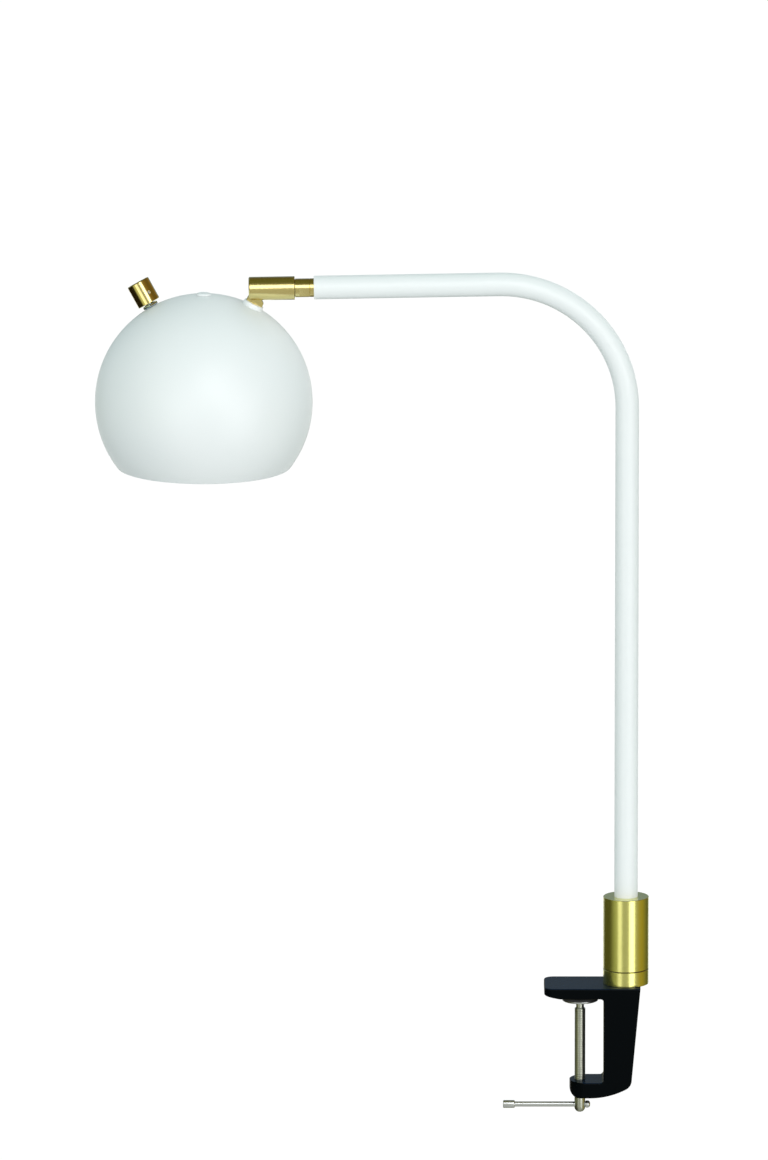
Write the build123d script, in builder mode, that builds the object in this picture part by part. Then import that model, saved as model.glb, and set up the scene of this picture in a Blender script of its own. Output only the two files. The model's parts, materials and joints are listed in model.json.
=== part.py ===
"""Swing-arm desk lamp with a table clamp, drawn piece by piece.

Millimetres and degrees. The origin is on the underside of the table jaw, on the axis of
the clamp's spindle. +Z is up, the arm reaches towards -X and +Y is the back of the lamp.
Threads are drawn plain at their outer diameter, apart from the spindle's.
"""
from math import cos, radians, sin, sqrt, tan
import os

from build123d import *

os.makedirs("parts", exist_ok=True)

# Play: a turning shaft in its hole, a pushed-in part in its seat.
run_gap = 0.05
seat_gap = 0.05

# Clamp frame
jaw_thickness = 9.0
jaw_reach = 30.0            # spindle axis to the jaw's tip
jaw_width = 48.0
jaw_corner = 8.0
tip_length = 13.0           # of the jaw's underside, rising to its tip
tip_rise = 2.6
throat_height = 73.0
throat_depth = 19.6         # spindle axis to the post's inner wall
post_back_top = 50.0
post_back_low = 42.5        # at the heel's corner, before it is rounded
heel_rise = 10.1            # foot's underside to the heel's corner
heel_radius = 9.0
foot_thickness = 13.3
foot_reach = 8.7            # spindle axis to the foot's tip
foot_width = 33.0
foot_corner = 7.0           # under the foot's tip
foot_nose = 18.5            # round of the foot's tip, seen from above
casting_edge = 1.2

# Pad, spindle and tommy bar
pad_clearance = 2.2         # jaw to pad with the clamp run up
pad_radius = 15.0
cushion_thickness = 2.3
disc_thickness = 1.6
spindle_radius = 4.5
spindle_pitch = 1.5
neck_radius = 3.3
neck_length = 6.5
rivet_radius = 2.5
rivet_head_radius = 4.0
rivet_head_height = 1.0
bar_below_foot = 8.5        # foot's underside to the bar's axis
spindle_tail = 6.4          # bar's axis to the spindle's end
thread_depth = 0.5
bar_radius = 2.15
bar_free_length = 59.0
bar_stop_radius = 3.0
bar_stop_length = 3.8
bar_grip_radius = 3.25
bar_grip_length = 9.8

# Swing axle, ring and sleeve
column_x = 38.0
collar_radius = 18.9
ring_height = 12.4
seam_height = 0.6
sleeve_height = 61.0
sleeve_wall = 3.0
sleeve_socket = 16.0        # depth of the tube's socket
axle_thread_radius = 5.0
axle_thread_depth = 24.0
axle_radius = 7.0
hub_height = 20.0
spring_thickness = 1.0
spring_radius = 11.0
thrust_thickness = 1.5
thrust_radius = 12.0
nut_width = 17.0
nut_height = 8.0
grub_radius = 2.0

# Cord outlet at the back of the sleeve
outlet_height = 58.0
outlet_radius = 4.5
outlet_bore = 3.2
outlet_inside = 13.5
outlet_outside = 24.0
outlet_flange = 6.5
outlet_flange_end = 21.0
lead_radius = 3.0

# Arm tube, bent once; the arm falls by a degree towards its free end
tube_radius = 9.75
tube_wall = 1.2
bend_radius = 104.0
arm_reach = 259.0           # column axis to the tube's end
arm_height = 598.9          # jaw's underside to the tube's end
arm_droop = 1.0
insert_length = 14.0

# Stem and knuckle, measured outwards from the tube's end
stem_radius = 7.7
stem_ring_length = 3.6
stem_length = 15.4
stem_tail = 13.0
stem_bore = 3.3
flat_width = 13.0
flat_margin = 0.2
flat_length = 8.2
flat_turn = -26.0           # of the front flat, from facing forwards to facing down
spigot_radius = 5.0
spigot_length = 14.6
groove_radius = 4.2
groove_width = 4.0
groove_middle = 25.0
groove_stop = 1.6           # land left in the groove, which ends the swivel each way
swivel_washer_thickness = 0.4
knuckle_radius = 9.7
knuckle_length = 38.0
knuckle_edge = 0.8
pivot_distance = 43.1
slot_width = 6.9
slot_roof = 5.6
slot_root = 7.6
pin_radius = 2.0
pin_front = 7.0
pin_head_radius = 3.4
pin_head_height = 2.2
pin_head_floor = 6.2

# Tongue and its stud, measured from the pivot towards the shade's middle
stud_angle = 26.6
shade_gap = 17.0            # pivot to the shade's wall
tongue_thickness = 6.0
tongue_eye = 5.0
tongue_waist = 4.1
tongue_waist_end = 8.4
tongue_foot = 7.0
tongue_foot_start = 10.6
tongue_end = 13.7
pivot_washer_radius = 4.7
pivot_washer_thickness = 0.4
stud_radius = 4.0
stud_bore = 2.1
stud_bore_top = 7.6
saddle_radius = 9.5
saddle_top_radius = 8.2
stud_washer_radius = 8.0
stud_washer_thickness = 1.2
stud_nut_width = 13.0
stud_nut_height = 5.0
stud_tail = 1.3

# Shade: a ball cut off level below its middle
shade_radius = 90.0
shade_wall = 1.0
rim_angle = 36.8            # from the middle's level down to the rim
rim_bead = 1.1

# Switch and knob
switch_angle = 30.2         # from upright
switch_turn = 16.0          # from the left towards the back
switch_radius = 11.0
switch_depth = 13.0
bush_radius = 5.0
bush_height = 2.9           # above the shade's wall
switch_nut_width = 12.4
switch_nut_height = 2.4
shaft_radius = 3.0
shaft_depth = 6.0           # below the shade's wall
knob_radius = 9.65
knob_gap = 0.5              # bush to knob
knob_length = 19.5
knob_edge = 0.4
knob_cap = 2.8              # metal left above the shaft
knob_screw_height = 8.1     # above the knob's lower face
knob_screw_turn = 46.0      # from the front towards the right
knob_screw_radius = 1.5
knob_screw_face = 8.0

# Lampholder and bulb, drops below the shade's top
top_head_radius = 5.65
top_head_height = 1.9
top_screw_radius = 4.0
top_screw_length = 9.0
holder_top_radius = 7.0
holder_radius = 14.0
holder_wall = 2.0
shoulder_drop = 12.0
seam_drop = 28.0
mouth_drop = 52.0
holder_floor = 4.0
shell_radius = 8.4
shell_wall = 1.0
contact_radius = 3.0
contact_height = 1.5
bulb_cap_radius = 7.2
bulb_cap_length = 18.0
bulb_neck_radius = 8.0
bulb_neck_length = 11.0
globe_radius = 22.5
globe_wall = 0.8
globe_drop = 82.0
wire_radius = 1.9
wire_bend = 8.0
wire_tuck = 5.0             # left inside the stud
stud_wire_run = 11.0        # straight out of the stud
switch_wire_run = 15.0      # straight out of the switch
holder_wire_run = 10.0
wire_clearance = 5.0        # round the lampholder

# Levels and directions that follow from the sizes
foot_bottom = throat_height + foot_thickness
bar_drop = foot_bottom + bar_below_foot
spindle_end = bar_drop + spindle_tail
cushion_top = -pad_clearance
disc_top = cushion_top - cushion_thickness
disc_bottom = disc_top - disc_thickness
ring_top = jaw_thickness + ring_height
sleeve_bottom = ring_top + seam_height
sleeve_top = sleeve_bottom + sleeve_height
sleeve_bore = collar_radius - sleeve_wall
socket_floor = sleeve_top - sleeve_socket
hub_top = sleeve_bottom + hub_height
axle_shoulder = hub_top + spring_thickness
thrust_top = axle_shoulder + thrust_thickness
nut_top = thrust_top + nut_height
tube_bore = tube_radius - tube_wall
knuckle_start = stem_length + swivel_washer_thickness
shade_inner = shade_radius - shade_wall
shade_drop = shade_radius + shade_gap
stud_washer_top = shade_drop - sqrt(shade_inner**2 - stud_washer_radius**2) + seat_gap
stud_nut_top = stud_washer_top + stud_washer_thickness
stud_end = stud_nut_top + stud_nut_height + stud_tail
switch_face = sqrt(shade_inner**2 - switch_radius**2) - seat_gap
switch_back = switch_face - switch_depth
shaft_start = shade_radius - shaft_depth
bush_end = shade_radius + bush_height
knob_start = bush_end + knob_gap
knob_end = knob_start + knob_length
holder_shoulder = shade_radius - shoulder_drop
holder_seam = shade_radius - seam_drop
holder_mouth = shade_radius - mouth_drop
globe_middle = shade_radius - globe_drop
holder_top = sqrt(shade_inner**2 - holder_top_radius**2) - seat_gap
socket_top = holder_seam - holder_floor
bulb_tip = socket_top - contact_height
bulb_cap_end = bulb_tip - bulb_cap_length
bulb_neck_end = bulb_cap_end - bulb_neck_length
globe_mouth = sqrt(globe_radius**2 - (bulb_neck_end - globe_middle)**2)

arm_dir = Vector(-cos(radians(arm_droop)), 0, -sin(radians(arm_droop)))
tube_end = Vector(column_x - arm_reach, 0, arm_height)
pivot = tube_end + arm_dir * pivot_distance
stud_dir = Vector(-sin(radians(stud_angle)), 0, -cos(radians(stud_angle)))
shade_middle = pivot + stud_dir * shade_drop
switch_side = Vector(-sin(radians(switch_turn)), -cos(radians(switch_turn)), 0)
switch_dir = Vector(0, 0, cos(radians(switch_angle))) + Vector(
    -cos(radians(switch_turn)), sin(radians(switch_turn)), 0
) * sin(radians(switch_angle))
bend_corner = Vector(column_x, 0, arm_height + arm_reach * tan(radians(arm_droop)))
bend_tangent = bend_radius * tan(radians(90 + arm_droop) / 2)
bend_start = bend_corner - Vector(0, 0, bend_tangent)
bend_end = bend_corner + arm_dir * bend_tangent


def over_column(height):
    """Level plane on the column's axis."""
    return Plane((column_x, 0, height))


def across_arm(distance):
    """Plane square to the arm, a distance beyond the tube's end."""
    return Plane(tube_end + arm_dir * distance, x_dir=(0, -1, 0), z_dir=arm_dir)


def across_stud(distance):
    """Plane square to the stud, a distance from the pivot."""
    return Plane(pivot + stud_dir * distance, x_dir=(0, -1, 0), z_dir=stud_dir)


def across_switch(distance):
    """Plane square to the switch's axis, a distance from the shade's middle."""
    return Plane(shade_middle + switch_dir * distance, x_dir=switch_side, z_dir=switch_dir)


def over_shade(height):
    """Level plane on the shade's axis."""
    return Plane(shade_middle + Vector(0, 0, height))


slot_plane = Plane(pivot, x_dir=arm_dir, z_dir=(0, 1, 0))
tongue_plane = Plane(pivot, x_dir=stud_dir, z_dir=(0, 1, 0))
pin_plane = Plane(pivot, x_dir=(1, 0, 0), z_dir=(0, 1, 0))
shade_section = Plane(shade_middle, x_dir=(1, 0, 0), z_dir=(0, -1, 0))
outlet_plane = Plane((column_x, 0, outlet_height), x_dir=(1, 0, 0), z_dir=(0, 1, 0))
swivel_screw_plane = Plane(tube_end + arm_dir * groove_middle, x_dir=arm_dir, z_dir=(0, 1, 0))
knob_front = across_switch(knob_start + knob_screw_height)
knob_screw_dir = (
    knob_front.x_dir * cos(radians(knob_screw_turn))
    + knob_front.y_dir * sin(radians(knob_screw_turn))
)
knob_screw_plane = Plane(knob_front.origin, x_dir=switch_dir, z_dir=knob_screw_dir)

# The table clamp

belly_start = (8.0, -foot_bottom)
heel = (post_back_low, heel_rise - foot_bottom)
root = 3.0

with BuildPart() as clamp_frame:
    with BuildSketch(Plane.XZ):
        with BuildLine():
            Line((throat_depth - root, 0), (tip_length - jaw_reach, 0))
            Line((tip_length - jaw_reach, 0), (-jaw_reach, tip_rise))
            Line((-jaw_reach, tip_rise), (-jaw_reach, jaw_thickness))
            Line((-jaw_reach, jaw_thickness), (post_back_top, jaw_thickness))
            Line((post_back_top, jaw_thickness), heel)
            TangentArc(belly_start, heel, tangent=(1, 0))
            Line(belly_start, (foot_corner - foot_reach, -foot_bottom))
            TangentArc(
                (foot_corner - foot_reach, -foot_bottom),
                (-foot_reach, foot_corner - foot_bottom),
                tangent=(-1, 0),
            )
            Line((-foot_reach, foot_corner - foot_bottom), (-foot_reach, -throat_height))
            Line((-foot_reach, -throat_height), (throat_depth - root, -throat_height))
            TangentArc(
                (throat_depth - root, -throat_height),
                (throat_depth, root - throat_height),
                tangent=(1, 0),
            )
            Line((throat_depth, root - throat_height), (throat_depth, -root))
            TangentArc((throat_depth, -root), (throat_depth - root, 0), tangent=(0, 1))
        make_face()
        fillet(vertices().sort_by(Axis.X)[-2], radius=heel_radius)
    extrude(amount=jaw_width, both=True)
    with BuildSketch(Plane.YZ):
        Polygon(
            (-jaw_width / 2, jaw_thickness),
            (-foot_width / 2, -foot_bottom),
            (foot_width / 2, -foot_bottom),
            (jaw_width / 2, jaw_thickness),
            align=None,
        )
    extrude(amount=2 * post_back_top, both=True, mode=Mode.INTERSECT)
    tip = edges().filter_by_position(Axis.X, -jaw_reach - 0.1, -jaw_reach + 0.1).sort_by(Axis.Y)
    fillet([tip[0], tip[-1]], radius=jaw_corner)
    with BuildSketch(Plane.XY.offset(-foot_bottom - 1)):
        with Locations((foot_nose - foot_reach, 0)):
            Rectangle(2 * foot_nose, 3 * foot_nose, align=(Align.MAX, Align.CENTER))
            Circle(foot_nose, mode=Mode.SUBTRACT)
    extrude(amount=foot_thickness + 2, mode=Mode.SUBTRACT)
    sides = faces().filter_by(lambda face: abs(face.normal_at().Y) > 0.99)
    fillet(sides.edges(), radius=casting_edge)
    with Locations((0, 0, -throat_height)):
        Hole(radius=spindle_radius + run_gap, depth=2 * foot_thickness)
    with Locations((column_x, 0, jaw_thickness)):
        Hole(radius=axle_thread_radius + seat_gap, depth=axle_thread_depth)
clamp_frame.part.label = "clamp_frame"
export_step(clamp_frame.part, "parts/clamp_frame.step")

with BuildPart() as pad_disc:
    with BuildSketch(Plane.XY.offset(disc_bottom)):
        Circle(pad_radius)
        Circle(rivet_radius + run_gap, mode=Mode.SUBTRACT)
    extrude(amount=disc_thickness)
pad_disc.part.label = "pad_disc"
export_step(pad_disc.part, "parts/pad_disc.step")

with BuildPart() as pad_cushion:
    with BuildSketch(Plane.XY.offset(disc_top)):
        Circle(pad_radius)
    extrude(amount=cushion_thickness)
    fillet(edges().group_by(Axis.Z)[-1], radius=0.8)
    with BuildSketch(Plane.XY.offset(disc_top)):
        Circle(rivet_head_radius + 0.4)
    extrude(amount=rivet_head_height + 0.3, mode=Mode.SUBTRACT)
pad_cushion.part.label = "pad_cushion"
export_step(pad_cushion.part, "parts/pad_cushion.step")

neck_bottom = disc_bottom - neck_length
thread_bottom = -foot_bottom - 1.0
thread_count = int((neck_bottom - thread_bottom) / spindle_pitch)

with BuildPart() as clamp_spindle:
    with BuildSketch(Plane.XZ):
        with BuildLine():
            outline = [
                (0, disc_top + rivet_head_height),
                (rivet_head_radius, disc_top + rivet_head_height),
                (rivet_head_radius, disc_top),
                (rivet_radius, disc_top),
                (rivet_radius, disc_bottom),
                (neck_radius, disc_bottom),
                (neck_radius, neck_bottom),
            ]
            for turn in range(thread_count):
                crest = neck_bottom - turn * spindle_pitch
                outline.append((spindle_radius - thread_depth, crest))
                outline.append((spindle_radius, crest - 0.4 * spindle_pitch))
                outline.append((spindle_radius, crest - 0.6 * spindle_pitch))
            outline.append((spindle_radius - thread_depth, neck_bottom - thread_count * spindle_pitch))
            outline.append((spindle_radius, thread_bottom - thread_depth))
            outline.append((spindle_radius, spindle_radius - spindle_end))
            Polyline(*outline)
            TangentArc((spindle_radius, spindle_radius - spindle_end), (0, -spindle_end), tangent=(0, -1))
            Line((0, -spindle_end), outline[0])
        make_face()
    revolve(axis=Axis.Z)
    with BuildSketch(Plane.YZ):
        with Locations((0, -bar_drop)):
            Circle(bar_radius + run_gap)
    extrude(amount=2 * spindle_radius, both=True, mode=Mode.SUBTRACT)
clamp_spindle.part.label = "clamp_spindle"
export_step(clamp_spindle.part, "parts/clamp_spindle.step")

bar_stop_face = spindle_radius + 0.3
bar_grip_face = bar_stop_face - bar_free_length

with BuildPart() as tommy_bar:
    with BuildSketch(Plane((bar_grip_face - bar_grip_length + 2, 0, -bar_drop), z_dir=(1, 0, 0))):
        Circle(bar_radius)
    extrude(amount=bar_free_length + bar_grip_length - 2)
    with BuildSketch(Plane((bar_stop_face, 0, -bar_drop), z_dir=(1, 0, 0))):
        Circle(bar_stop_radius)
    extrude(amount=bar_stop_length)
    fillet(edges().group_by(Axis.X)[-1], radius=1.4)
tommy_bar.part.label = "tommy_bar"
export_step(tommy_bar.part, "parts/tommy_bar.step")

with BuildPart() as tommy_bar_grip:
    with BuildSketch(Plane((bar_grip_face - bar_grip_length, 0, -bar_drop), z_dir=(1, 0, 0))):
        Circle(bar_grip_radius)
    extrude(amount=bar_grip_length)
    fillet(edges().filter_by(GeomType.CIRCLE), radius=0.8)
    with BuildSketch(Plane((bar_grip_face - bar_grip_length + 2, 0, -bar_drop), z_dir=(1, 0, 0))):
        Circle(bar_radius + seat_gap)
    extrude(amount=bar_grip_length, mode=Mode.SUBTRACT)
tommy_bar_grip.part.label = "tommy_bar_grip"
export_step(tommy_bar_grip.part, "parts/tommy_bar_grip.step")

# The swing axle on the clamp and the sleeve that turns on it

with BuildPart() as base_ring:
    with BuildSketch(over_column(jaw_thickness)):
        Circle(collar_radius)
    extrude(amount=ring_height)
    chamfer(edges().filter_by(GeomType.CIRCLE), length=0.3)
    with BuildSketch(over_column(jaw_thickness)):
        Circle(axle_thread_radius + seat_gap)
    extrude(amount=ring_height, mode=Mode.SUBTRACT)
base_ring.part.label = "base_ring"
export_step(base_ring.part, "parts/base_ring.step")

with BuildPart() as seam_washer:
    with BuildSketch(over_column(ring_top)):
        Circle(collar_radius - 0.6)
        Circle(axle_radius + 0.2, mode=Mode.SUBTRACT)
    extrude(amount=seam_height)
seam_washer.part.label = "seam_washer"
export_step(seam_washer.part, "parts/seam_washer.step")

with BuildPart() as swing_axle:
    with BuildSketch(over_column(jaw_thickness - axle_thread_depth + 1)):
        Circle(axle_thread_radius)
    extrude(amount=nut_top + 1.5 - jaw_thickness + axle_thread_depth - 1)
    with BuildSketch(over_column(ring_top)):
        Circle(axle_radius)
    extrude(amount=axle_shoulder - ring_top)
swing_axle.part.label = "swing_axle"
export_step(swing_axle.part, "parts/swing_axle.step")

with BuildPart() as swing_hub:
    with BuildSketch(over_column(sleeve_bottom)):
        Circle(sleeve_bore - seat_gap)
        Circle(axle_radius + run_gap, mode=Mode.SUBTRACT)
    extrude(amount=hub_height)
swing_hub.part.label = "swing_hub"
export_step(swing_hub.part, "parts/swing_hub.step")

with BuildPart() as spring_washer:
    with BuildSketch(over_column(hub_top)):
        Circle(spring_radius)
        Circle(axle_radius + 0.3, mode=Mode.SUBTRACT)
    extrude(amount=spring_thickness)
spring_washer.part.label = "spring_washer"
export_step(spring_washer.part, "parts/spring_washer.step")

with BuildPart() as thrust_washer:
    with BuildSketch(over_column(axle_shoulder)):
        Circle(thrust_radius)
        Circle(axle_thread_radius + seat_gap, mode=Mode.SUBTRACT)
    extrude(amount=thrust_thickness)
thrust_washer.part.label = "thrust_washer"
export_step(thrust_washer.part, "parts/thrust_washer.step")

with BuildPart() as lock_nut:
    with BuildSketch(over_column(thrust_top)):
        RegularPolygon(radius=nut_width / 2, side_count=6, major_radius=False)
        Circle(axle_thread_radius + seat_gap, mode=Mode.SUBTRACT)
    extrude(amount=nut_height)
lock_nut.part.label = "lock_nut"
export_step(lock_nut.part, "parts/lock_nut.step")

tube_screw_height = socket_floor + sleeve_socket / 2
tube_screw_plane = Plane((column_x, 0, tube_screw_height), x_dir=(1, 0, 0), z_dir=(0, 1, 0))

with BuildPart() as swing_sleeve:
    with BuildSketch(over_column(sleeve_bottom)):
        Circle(collar_radius)
    extrude(amount=sleeve_height)
    chamfer(edges().filter_by(GeomType.CIRCLE), length=0.3)
    with BuildSketch(over_column(sleeve_bottom)):
        Circle(sleeve_bore)
    extrude(amount=sleeve_height - sleeve_socket, mode=Mode.SUBTRACT)
    with BuildSketch(over_column(socket_floor)):
        Circle(tube_radius + seat_gap)
    extrude(amount=sleeve_socket, mode=Mode.SUBTRACT)
    with BuildSketch(outlet_plane):
        Circle(outlet_radius + seat_gap)
    extrude(amount=collar_radius + 1, mode=Mode.SUBTRACT)
    with BuildSketch(tube_screw_plane):
        Circle(grub_radius + seat_gap)
    extrude(amount=collar_radius + 1, mode=Mode.SUBTRACT)
swing_sleeve.part.label = "swing_sleeve"
export_step(swing_sleeve.part, "parts/swing_sleeve.step")

with BuildPart() as tube_grub_screw:
    with BuildSketch(tube_screw_plane.offset(tube_radius + seat_gap)):
        Circle(grub_radius)
    extrude(amount=collar_radius - tube_radius - 1.0)
    with BuildSketch(tube_screw_plane.offset(collar_radius - 1.0 + seat_gap)):
        RegularPolygon(radius=1.0, side_count=6, major_radius=False)
    extrude(amount=-2.0, mode=Mode.SUBTRACT)
tube_grub_screw.part.label = "tube_grub_screw"
export_step(tube_grub_screw.part, "parts/tube_grub_screw.step")

with BuildPart() as cord_bush:
    with BuildSketch(outlet_plane.offset(outlet_inside)):
        Circle(outlet_flange)
    extrude(amount=outlet_flange_end - outlet_inside)
    fillet(edges().group_by(Axis.Y)[-1], radius=0.8)
    with BuildSketch(over_column(outlet_height - outlet_flange - 1)):
        Circle(collar_radius + seat_gap)
    extrude(amount=2 * outlet_flange + 2, mode=Mode.SUBTRACT)
    with BuildSketch(outlet_plane.offset(outlet_inside)):
        Circle(outlet_radius)
    extrude(amount=outlet_outside - outlet_inside)
    fillet(edges().group_by(Axis.Y)[-1], radius=0.8)
    with BuildSketch(outlet_plane.offset(outlet_inside)):
        Circle(outlet_bore)
    extrude(amount=outlet_outside - outlet_inside, mode=Mode.SUBTRACT)
cord_bush.part.label = "cord_bush"
export_step(cord_bush.part, "parts/cord_bush.step")

# The arm: bent tube, its lead, and the stem in the tube's end

with BuildPart() as arm_tube:
    with BuildLine() as tube_path:
        Line((column_x, 0, socket_floor), bend_start)
        TangentArc(bend_start, bend_end, tangent=(0, 0, 1))
        Line(bend_end, tube_end)
    with BuildSketch(over_column(socket_floor)):
        Circle(tube_radius)
        Circle(tube_bore, mode=Mode.SUBTRACT)
    sweep(path=tube_path.wires()[0])
    free_end = faces().sort_by(Axis.X)[0]
    fillet(free_end.outer_wire().edges(), radius=0.5)
arm_tube.part.label = "arm_tube"
export_step(arm_tube.part, "parts/arm_tube.step")

lead_turn = 12.0
lead_start = Vector(column_x, outlet_inside - 0.1, outlet_height)
lead_end = tube_end + arm_dir * (stem_length + spigot_length - 1)

with BuildPart() as arm_lead:
    with BuildLine() as lead_path:
        Line(lead_start, (column_x, lead_turn, outlet_height))
        TangentArc(
            (column_x, lead_turn, outlet_height),
            (column_x, 0, outlet_height + lead_turn),
            tangent=(0, -1, 0),
        )
        Line((column_x, 0, outlet_height + lead_turn), bend_start)
        TangentArc(bend_start, bend_end, tangent=(0, 0, 1))
        Line(bend_end, lead_end)
    with BuildSketch(Plane(lead_start, x_dir=(1, 0, 0), z_dir=(0, -1, 0))):
        Circle(lead_radius)
    sweep(path=lead_path.wires()[0])
arm_lead.part.label = "arm_lead"
export_step(arm_lead.part, "parts/arm_lead.step")

with BuildPart() as tube_insert:
    with BuildSketch(across_arm(0)):
        Circle(tube_bore - seat_gap)
        Circle(spigot_radius + seat_gap, mode=Mode.SUBTRACT)
    extrude(amount=-insert_length)
tube_insert.part.label = "tube_insert"
export_step(tube_insert.part, "parts/tube_insert.step")

with BuildPart() as stem_ring:
    with BuildSketch(across_arm(0)):
        Circle(stem_radius)
        Circle(spigot_radius + seat_gap, mode=Mode.SUBTRACT)
    extrude(amount=stem_ring_length)
    chamfer(edges().group_by(Axis.X)[0].sort_by(SortBy.RADIUS)[-1], length=0.4)
stem_ring.part.label = "stem_ring"
export_step(stem_ring.part, "parts/stem_ring.step")

with BuildPart() as swivel_stem:
    with BuildSketch(across_arm(-stem_tail)):
        Circle(spigot_radius)
    extrude(amount=stem_tail + stem_length + spigot_length)
    with BuildSketch(across_arm(stem_ring_length)):
        Circle(stem_radius)
    extrude(amount=stem_length - stem_ring_length)
    with BuildSketch(across_arm(stem_ring_length + flat_margin)):
        Circle(2 * stem_radius)
        Rectangle(flat_width, 5 * stem_radius, rotation=flat_turn, mode=Mode.SUBTRACT)
    extrude(amount=flat_length, mode=Mode.SUBTRACT)
    with BuildSketch(across_arm(groove_middle - groove_width / 2)):
        Circle(2 * spigot_radius)
        Circle(groove_radius, mode=Mode.SUBTRACT)
        Rectangle(2 * spigot_radius, groove_stop, align=(Align.MIN, Align.CENTER), mode=Mode.SUBTRACT)
    extrude(amount=groove_width, mode=Mode.SUBTRACT)
    with BuildSketch(across_arm(-stem_tail)):
        Circle(stem_bore)
    extrude(amount=stem_tail + stem_length + spigot_length, mode=Mode.SUBTRACT)
swivel_stem.part.label = "swivel_stem"
export_step(swivel_stem.part, "parts/swivel_stem.step")

with BuildPart() as swivel_washer:
    with BuildSketch(across_arm(stem_length)):
        Circle(stem_radius - 0.6)
        Circle(spigot_radius + 0.1, mode=Mode.SUBTRACT)
    extrude(amount=swivel_washer_thickness)
swivel_washer.part.label = "swivel_washer"
export_step(swivel_washer.part, "parts/swivel_washer.step")

# The slotted knuckle, which swivels about the arm

spigot_room = stem_length + spigot_length + 1.0 - knuckle_start
slot_start = pivot_distance - slot_root

with BuildPart() as knuckle_body:
    with BuildSketch(across_arm(knuckle_start)):
        Circle(knuckle_radius)
    extrude(amount=knuckle_length)
    chamfer(edges().group_by(Axis.X)[0], length=knuckle_edge)
    chamfer(edges().group_by(Axis.X)[-1], length=0.3)
    with BuildSketch(across_arm(knuckle_start)):
        Circle(spigot_radius + run_gap)
    extrude(amount=spigot_room, mode=Mode.SUBTRACT)
    with BuildSketch(across_arm(knuckle_start)):
        Circle(stem_bore)
    extrude(amount=slot_start - knuckle_start + 1, mode=Mode.SUBTRACT)
    with BuildSketch(slot_plane):
        with Locations((-slot_root, slot_roof)):
            slot_side = Rectangle(knuckle_length, knuckle_length, align=(Align.MIN, Align.MAX))
        fillet(slot_side.vertices().group_by(Axis.Z)[-1].sort_by(Axis.X)[-1], radius=3.0)
    extrude(amount=slot_width / 2, both=True, mode=Mode.SUBTRACT)
    with BuildSketch(pin_plane.offset(-pin_front - 0.5)):
        Circle(pin_radius + seat_gap)
    extrude(amount=pin_front + knuckle_radius + 1, mode=Mode.SUBTRACT)
    with BuildSketch(pin_plane.offset(pin_head_floor)):
        Circle(pin_head_radius + 0.1)
    extrude(amount=knuckle_radius, mode=Mode.SUBTRACT)
    with BuildSketch(swivel_screw_plane):
        Circle(grub_radius + seat_gap)
    extrude(amount=knuckle_radius + 1, mode=Mode.SUBTRACT)
knuckle_body.part.label = "knuckle_body"
export_step(knuckle_body.part, "parts/knuckle_body.step")

with BuildPart() as swivel_grub_screw:
    with BuildSketch(swivel_screw_plane.offset(groove_radius + 0.2)):
        Circle(groove_width / 2 - 0.5)
    extrude(amount=knuckle_radius - groove_radius - 0.8)
    with BuildSketch(swivel_screw_plane.offset(spigot_radius + run_gap + 0.1)):
        Circle(grub_radius)
    extrude(amount=knuckle_radius - spigot_radius - run_gap - 0.7)
    with BuildSketch(swivel_screw_plane.offset(knuckle_radius - 0.6)):
        RegularPolygon(radius=1.0, side_count=6, major_radius=False)
    extrude(amount=-2.0, mode=Mode.SUBTRACT)
swivel_grub_screw.part.label = "swivel_grub_screw"
export_step(swivel_grub_screw.part, "parts/swivel_grub_screw.step")

with BuildPart() as pivot_pin:
    with BuildSketch(pin_plane.offset(-pin_front)):
        Circle(pin_radius)
    extrude(amount=pin_front + pin_head_floor)
    with BuildSketch(pin_plane.offset(pin_head_floor)):
        Circle(pin_head_radius)
    extrude(amount=pin_head_height)
    with BuildSketch(pin_plane.offset(pin_head_floor + pin_head_height)):
        RegularPolygon(radius=1.25, side_count=6, major_radius=False)
    extrude(amount=-1.6, mode=Mode.SUBTRACT)
pivot_pin.part.label = "pivot_pin"
export_step(pivot_pin.part, "parts/pivot_pin.step")

with BuildPart() as pivot_washer_front:
    with BuildSketch(pin_plane.offset(-tongue_thickness / 2)):
        Circle(pivot_washer_radius)
        Circle(pin_radius + 0.1, mode=Mode.SUBTRACT)
    extrude(amount=-pivot_washer_thickness)
pivot_washer_front.part.label = "pivot_washer_front"
export_step(pivot_washer_front.part, "parts/pivot_washer_front.step")

with BuildPart() as pivot_washer_back:
    with BuildSketch(pin_plane.offset(tongue_thickness / 2)):
        Circle(pivot_washer_radius)
        Circle(pin_radius + 0.1, mode=Mode.SUBTRACT)
    extrude(amount=pivot_washer_thickness)
pivot_washer_back.part.label = "pivot_washer_back"
export_step(pivot_washer_back.part, "parts/pivot_washer_back.step")

# The tongue that carries the shade, and its fastening through the shade's wall

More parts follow.
